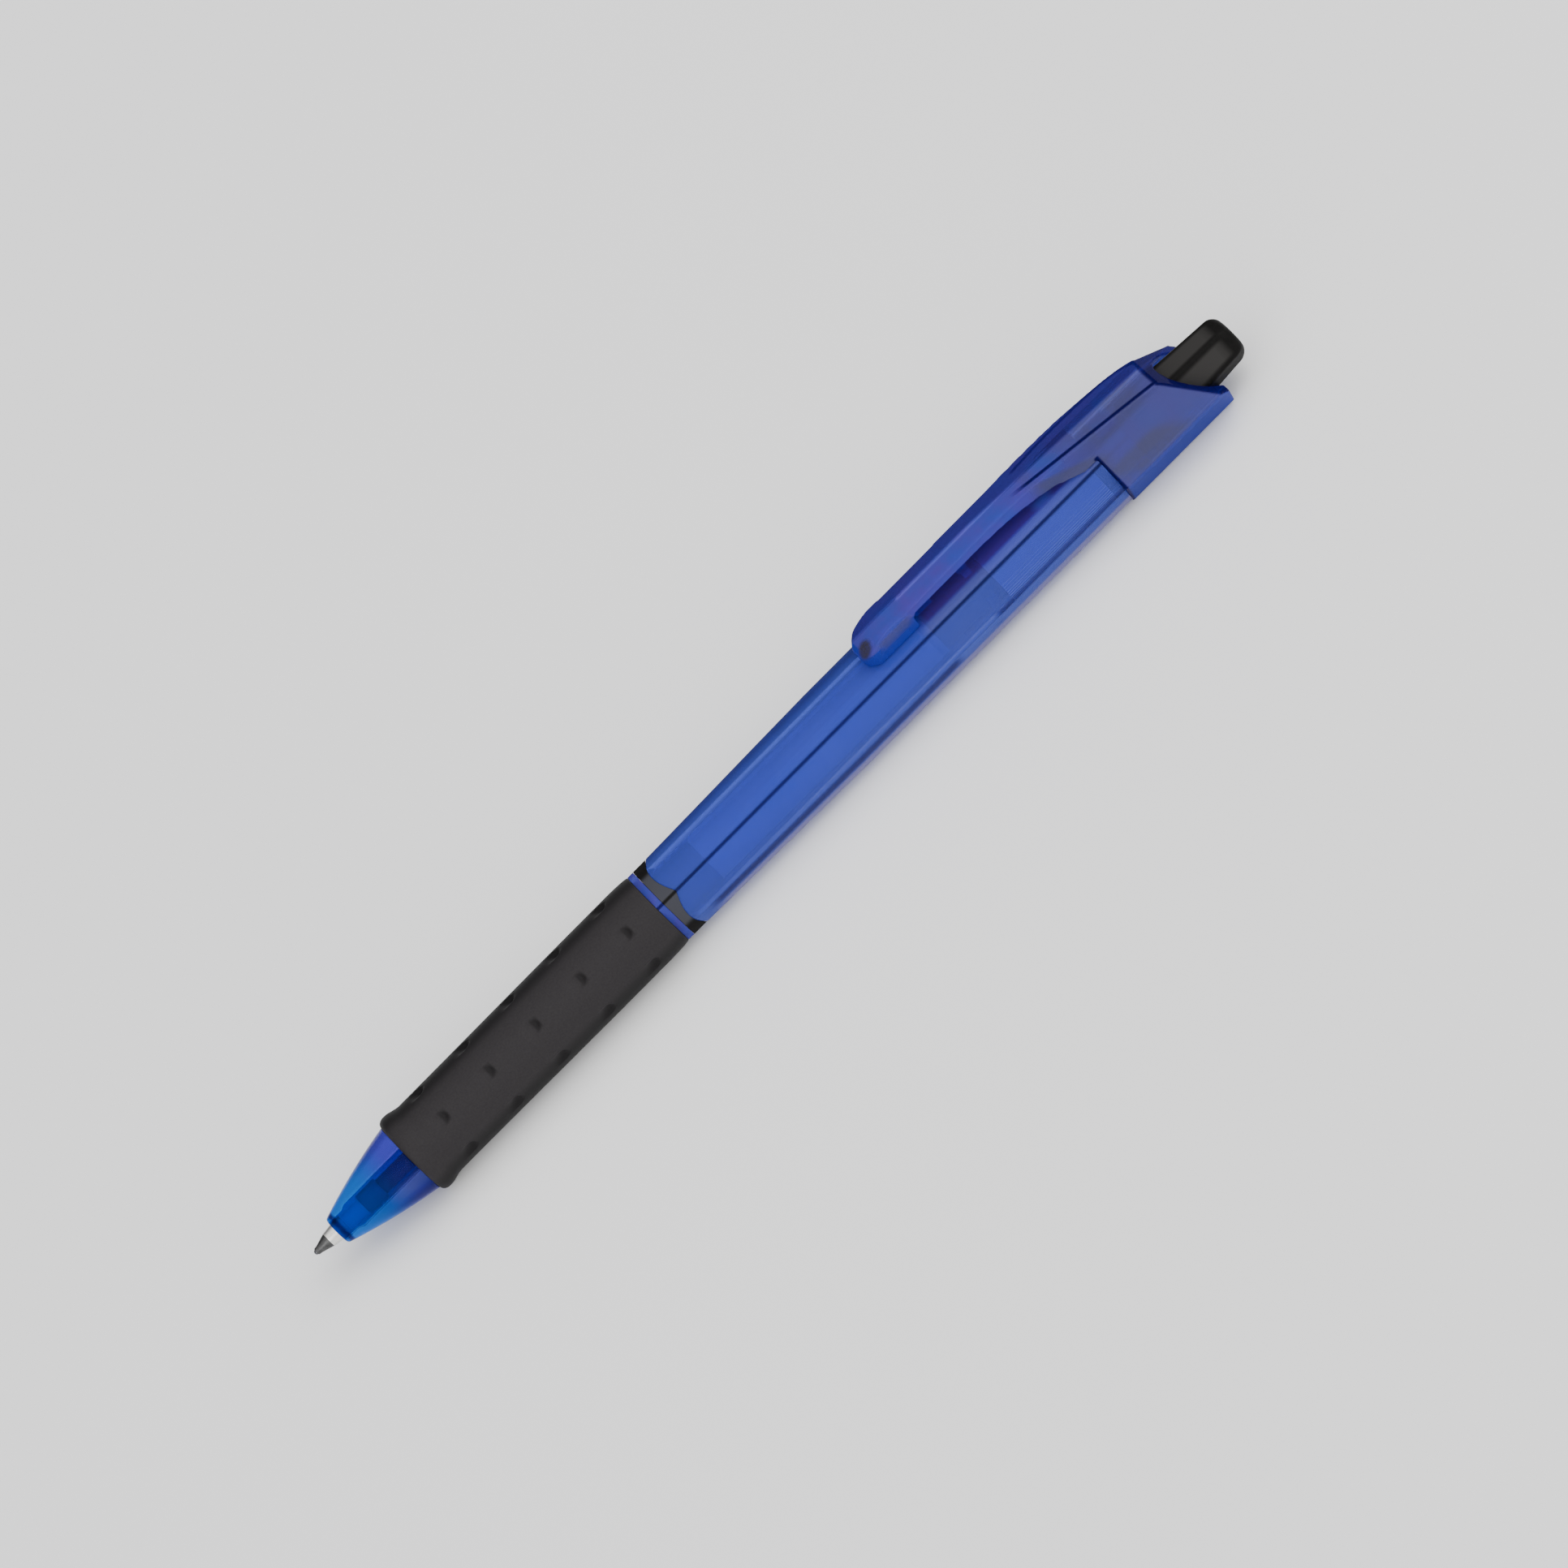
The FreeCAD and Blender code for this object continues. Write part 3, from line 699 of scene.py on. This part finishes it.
def rubber_grip():
    """Rubber sleeve with six rows of scooped dimples, all in the mesh."""
    start = station(grip_low.x)
    end = station(grip_high.x)
    steps = 300
    around = 288
    rings = [[place(start, GRIP_BORE, 2 * math.pi * j / around) for j in range(around)]]
    for i in range(steps + 1):
        along = start + (end - start) * crowded_share(i / steps)
        radius = grip_outline(along)
        ring = []
        for j in range(around):
            angle = 2 * math.pi * j / around
            ring.append(place(along, radius - dimple_depth(along, angle, radius), angle))
        rings.append(ring)
    rings.append([place(end, GRIP_BORE, 2 * math.pi * j / around) for j in range(around)])
    grip = finish_mesh("grip_sleeve", rings, closed_loop=True, crease=50.0)
    # Painted shade in the dimples and on the flanks.
    paint(grip, "painted_dimple_shade", dimple_shade)
    return install(grip, "front", RUBBER, "black_rubber", "rubber_grip")


def ring_painted_light(along, y, z):
    """Painted light: 1 on the ring's sides, 0 on the corners: thin front and back, broad above and
    below.
    """
    across = abs(toward_far_side(y, z))
    return smooth_step(0.08, 0.30, across) * (1 - smooth_step(3.15, 3.75, across))


def seam_ring():
    """Black ring whose upper edge is scalloped where its conical seat meets the flat sides."""
    low = station(ring_low.x)
    angles = section_angles()
    outer = [side_radius(a, edge_radius_at(low)) for a in angles]
    rings = [[place(low, BARREL_BORE, a) for a in angles],
             [place(low, r, a) for r, a in zip(outer, angles)],
             [place(seam_station(r), r, a) for r, a in zip(outer, angles)],
             [place(seam_station(BARREL_BORE), BARREL_BORE, a) for a in angles]]
    ring = finish_mesh("seam_ring", rings, closed_loop=True)
    # Painted light on the ring's flat sides.
    paint(ring, "flat", ring_painted_light)
    return install(soften(ring, 0.04, 2), "ring", RING_BLACK, "black_plastic", "trim_ring")


# ---- Barrel, housing and clip --------------------------------------------------------------
def barrel_shell():
    """Translucent four-sided barrel, with its bore and the neck inside the housing."""
    top = station(housing_high.x) - HOUSING_LENGTH
    neck_top = station(barrel_high.x)
    angles = section_angles()
    gap = 0.08
    rings = [[place(seam_station(BARREL_BORE) + gap, BARREL_BORE, a) for a in angles]]
    steps = 72
    for i in range(steps + 1):
        share = (i / steps) ** 1.25
        ring = []
        for a in angles:
            start = seam_station(side_radius(a, edge_radius_at(SEAM_STATION))) + gap
            along = start + (top - start) * share
            ring.append(place(along, side_radius(a, edge_radius_at(along)), a))
        rings.append(ring)
    for along, radius in ((top, NECK_RADIUS), (neck_top, NECK_RADIUS), (neck_top, BARREL_BORE)):
        rings.append([place(along, radius, a) for a in angles])
    barrel = finish_mesh("barrel_shell", rings, closed_loop=True)
    # Painted shade on corners and flanks, painted light on the lower corners and beside the clip, and
    # the painted shadow of the clip.
    paint(barrel, "painted_shade", barrel_painted_shade)
    paint(barrel, "pale", barrel_painted_light)
    paint(barrel, "violet", barrel_clip_shadow)
    return install(soften(barrel, 0.05, 2, 40), "barrel", BLUE, "blue_shell", "rear_barrel")


def head_and_clip():
    """Housing, fairing and clip arm moulded in one piece, with small rounded edges.

    The arm's root is drawn into the fairing, and the two are fused by a fine remesh.
    """
    overlap = 0.40 * MM
    work = bmesh.new()
    work.from_mesh(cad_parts["top_housing"].data)
    arm_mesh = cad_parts["clip_arm"].data.copy()
    for vertex in arm_mesh.vertices:
        if vertex.co.x > clip_high.x - 0.01 * MM:
            vertex.co.x = clip_high.x + overlap
    work.from_mesh(arm_mesh)
    bpy.data.meshes.remove(arm_mesh)
    bmesh.ops.remove_doubles(work, verts=work.verts, dist=1e-7)
    mesh = bpy.data.meshes.new("head_and_clip")
    work.to_mesh(mesh)
    work.free()
    rough = new_object("head_and_clip_rough", mesh)
    remesh = rough.modifiers.new("fused", "REMESH")
    remesh.mode = "VOXEL"
    remesh.voxel_size = 0.10 * MM
    relax = rough.modifiers.new("relaxed", "SMOOTH")
    relax.factor = 0.5
    relax.iterations = 16
    graph = bpy.context.evaluated_depsgraph_get()
    fused = bpy.data.meshes.new_from_object(rough.evaluated_get(graph))
    bpy.data.objects.remove(rough)
    fused.polygons.foreach_set("use_smooth", [True] * len(fused.polygons))
    head = new_object("head_and_clip", fused)
    # Painted shade on the head's edges and in dark spots, besides its clear, grey and smoky zones.
    paint(head, "painted_shade", head_painted_shade)
    paint(head, "smoky", head_smoke)
    paint(head, "painted_shade_spots", head_painted_shade_spots)
    paint(head, "clear", head_clear)
    paint(head, "grey", head_grey)
    dress(head, HEAD_BLUE)
    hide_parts("top_housing", "clip_arm")
    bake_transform(head)
    return head


# ---- Button --------------------------------------------------------------------------------
def hexagon_radius(angle, radius, roundness):
    """Radius of a hexagon with a flat on top; roundness from 0 to 1 turns it into a circle."""
    turn = (angle + math.pi / 6) % (math.pi / 3) - math.pi / 6
    flat = radius * math.cos(math.pi / 6) / math.cos(turn)
    corner = radius * 0.972
    over = flat - corner
    trimmed = flat - (over + math.sqrt(over * over + 0.004)) / 2
    return trimmed + (radius * 0.94 - trimmed) * roundness


def button_painted_light(along, y, z):
    """Painted light: 1 in the middle of the button's upper sides, 0 at its corners, its rounded end and
    its lower side.
    """
    turn = (math.atan2(y, z) + math.pi / 6) % (math.pi / 3) - math.pi / 6
    across = abs(turn) / (math.pi / 6)
    end = station(button_high.x)
    below = smooth_step(-1.2, 0.4, z)
    return below * (1 - smooth_step(0.55, 0.85, across)) * (1 - smooth_step(end - 2.6, end - 1.4, along))


def button_cap():
    """Tapered six-sided button with a softly domed end."""
    start = station(button_low.x)
    end = station(button_high.x)
    taper_start = 133.5
    corner = 1.45
    base = 3.75
    rim = 3.15
    dome = 0.06
    profile = [(start, 0.0), (start, base - 0.15), (start + 0.15, base), (taper_start, base)]
    for i in range(1, 13):
        share = i / 12
        profile.append((taper_start + (end - corner - taper_start) * share,
                        base + (rim - base) * share))
    for i in range(1, 15):
        turn = math.pi / 2 * i / 14
        profile.append((end - corner - dome + corner * math.sin(turn),
                        rim - corner * (1 - math.cos(turn))))
    for i in range(1, 9):
        share = i / 8
        profile.append((end - dome * (1 - share * (2 - share)), (rim - corner) * (1 - share)))
    around = 144
    rings = []
    for along, radius in profile:
        roundness = smooth_step(end - 0.9 * corner, end, along) * 0.75
        ring = []
        for j in range(around):
            angle = 2 * math.pi * j / around
            outer = hexagon_radius(angle, radius, roundness) if radius else 0.0
            ring.append(place(along, outer, angle))
        rings.append(ring)
    cap = finish_mesh("button_cap", rings, closed_loop=False, crease=60.0)
    # Painted light on the button's flat sides.
    paint(cap, "flat", button_painted_light)
    return install(cap, "button", BLACK, "black_plastic", "push_button")


# ---- Point of the refill -------------------------------------------------------------------
def steel_point():
    """Turned steel cone round the ball, with a rolled rim."""
    start = station(cone_low.x)
    end = station(cone_high.x)
    profile = arc_points((start, 0.34), (start + 0.02, 0.42), (start + 0.10, 0.445), 5)
    profile += [(0.75, 0.50), (2.16, 0.915), (2.24, 0.93), (end, 0.93), (end, 0.42),
                (1.0, 0.42), (0.62, 0.30)]
    return install(turned("steel_point", profile, 96), "refill", STEEL, "stainless_steel",
                   "tip_cone")


def nickel_collar():
    """Bright collar between the steel point and the mouth of the nose."""
    start = station(holder_low.x)
    end = station(holder_high.x)
    outer = (holder_high.z - holder_low.z) / 2 / MM
    cone_seat = 3.9
    shoulder = 4.9
    profile = arc_points((start, 0.90), (start + 0.03, 0.945), (start + 0.10, 0.97), 6)
    profile += [(start + 1.7, outer), (shoulder, outer), (shoulder, 0.72), (end, 0.72),
                (end, 0.46), (cone_seat, 0.46), (cone_seat, 0.94)]
    return install(turned("nickel_collar", profile, 96), "refill", NICKEL, "nickel_silver",
                   "tip_holder")


# ---- Stage ---------------------------------------------------------------------------------
def floor():
    mesh = bpy.data.meshes.new("floor")
    size = 2.5
    mesh.from_pydata([(-size, -size, 0), (size, -size, 0), (size, size, 0), (-size, size, 0)],
                     [], [(0, 1, 2, 3)])
    obj = new_object("floor", mesh)
    obj.location.z = -0.00002
    mat, _ = material("pale_floor", (0.91, 0.91, 0.91), (0.92, 0.92, 0.92),
                      grain=40.0, bump=0.0, roughness=0.9)
    dress(obj, mat)


def softbox(name, direction, distance, size, power):
    """Large soft light aimed at the pen from a direction."""
    data = bpy.data.lights.new(name, "AREA")
    data.shape = "RECTANGLE"
    data.size = size[0]
    data.size_y = size[1]
    data.energy = power
    light = bpy.data.objects.new(name, data)
    bpy.context.scene.collection.objects.link(light)
    aim = Vector(direction).normalized()
    light.location = Vector((0, 0, AXIS_Z)) + aim * distance
    light.rotation_euler = (-aim).to_track_quat("-Z", "Y").to_euler()


def studio():
    """Bright ceiling that leans to the front, darker walls behind, and two soft lights."""
    world = bpy.data.worlds.new("studio")
    world.use_nodes = True
    nodes = world.node_tree.nodes
    links = world.node_tree.links
    background = nodes["Background"]
    background.inputs["Strength"].default_value = 1.78
    direction = nodes.new("ShaderNodeTexCoord")
    lean = nodes.new("ShaderNodeVectorMath")
    lean.operation = "DOT_PRODUCT"
    lean.inputs[1].default_value = (0.0, -0.55, 0.835)
    links.new(direction.outputs["Generated"], lean.inputs[0])
    walls = nodes.new("ShaderNodeValToRGB")
    walls.color_ramp.elements[0].position = 0.10
    walls.color_ramp.elements[0].color = (0.16, 0.16, 0.17, 1)
    walls.color_ramp.elements[1].position = 0.80
    walls.color_ramp.elements[1].color = (0.95, 0.95, 0.95, 1)
    links.new(lean.outputs["Value"], walls.inputs["Fac"])
    links.new(walls.outputs["Color"], background.inputs["Color"])
    bpy.context.scene.world = world
    softbox("key", (0.90, -0.10, 0.95), 1.4, (1.2, 1.3), 12.0)
    softbox("fill", (-0.85, -0.80, 0.60), 1.4, (0.9, 0.9), 5.8)


def camera():
    """Square view down onto the pen's front edge, rolled so that the pen points up right."""
    roll = math.radians(45.15)
    toward = Vector((0, -1, 1)).normalized()
    along = Vector((1, 0, 0))
    leftward = toward.cross(along)
    right = along * math.cos(roll) - leftward * math.sin(roll)
    up = along * math.sin(roll) + leftward * math.cos(roll)
    data = bpy.data.cameras.new("camera")
    data.sensor_width = 36.0
    data.lens = 200.0
    view_width = LENGTH * PICTURE_SHARE
    distance = view_width * data.lens / data.sensor_width
    centre = Vector((0, 0, AXIS_Z)) + right * 0.0012 + up * 0.0010
    obj = bpy.data.objects.new("camera", data)
    bpy.context.scene.collection.objects.link(obj)
    turn = Matrix((right, up, toward)).transposed().to_4x4()
    obj.matrix_world = Matrix.Translation(centre + toward * distance) @ turn
    bpy.context.scene.camera = obj


nose_shell()
front_flange()
rubber_grip()
seam_ring()
barrel_shell()
head_and_clip()
button_cap()
steel_point()
nickel_collar()

CARRIED_OVER = {
    "writing_ball": CARBIDE, "ball_spring": STEEL, "refill_adapter": ADAPTER, "ink_tube": MILKY,
    "gel_ink": INK, "follower_grease": GREASE, "tail_plug": PALE, "return_spring": STEEL,
    "plunger_tube": BLACK, "cam_rotor": GREY, "cam_sleeve": MILKY,
}
for node_name, node_material in CARRIED_OVER.items():
    dress(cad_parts[node_name], node_material)

floor()
studio()
camera()
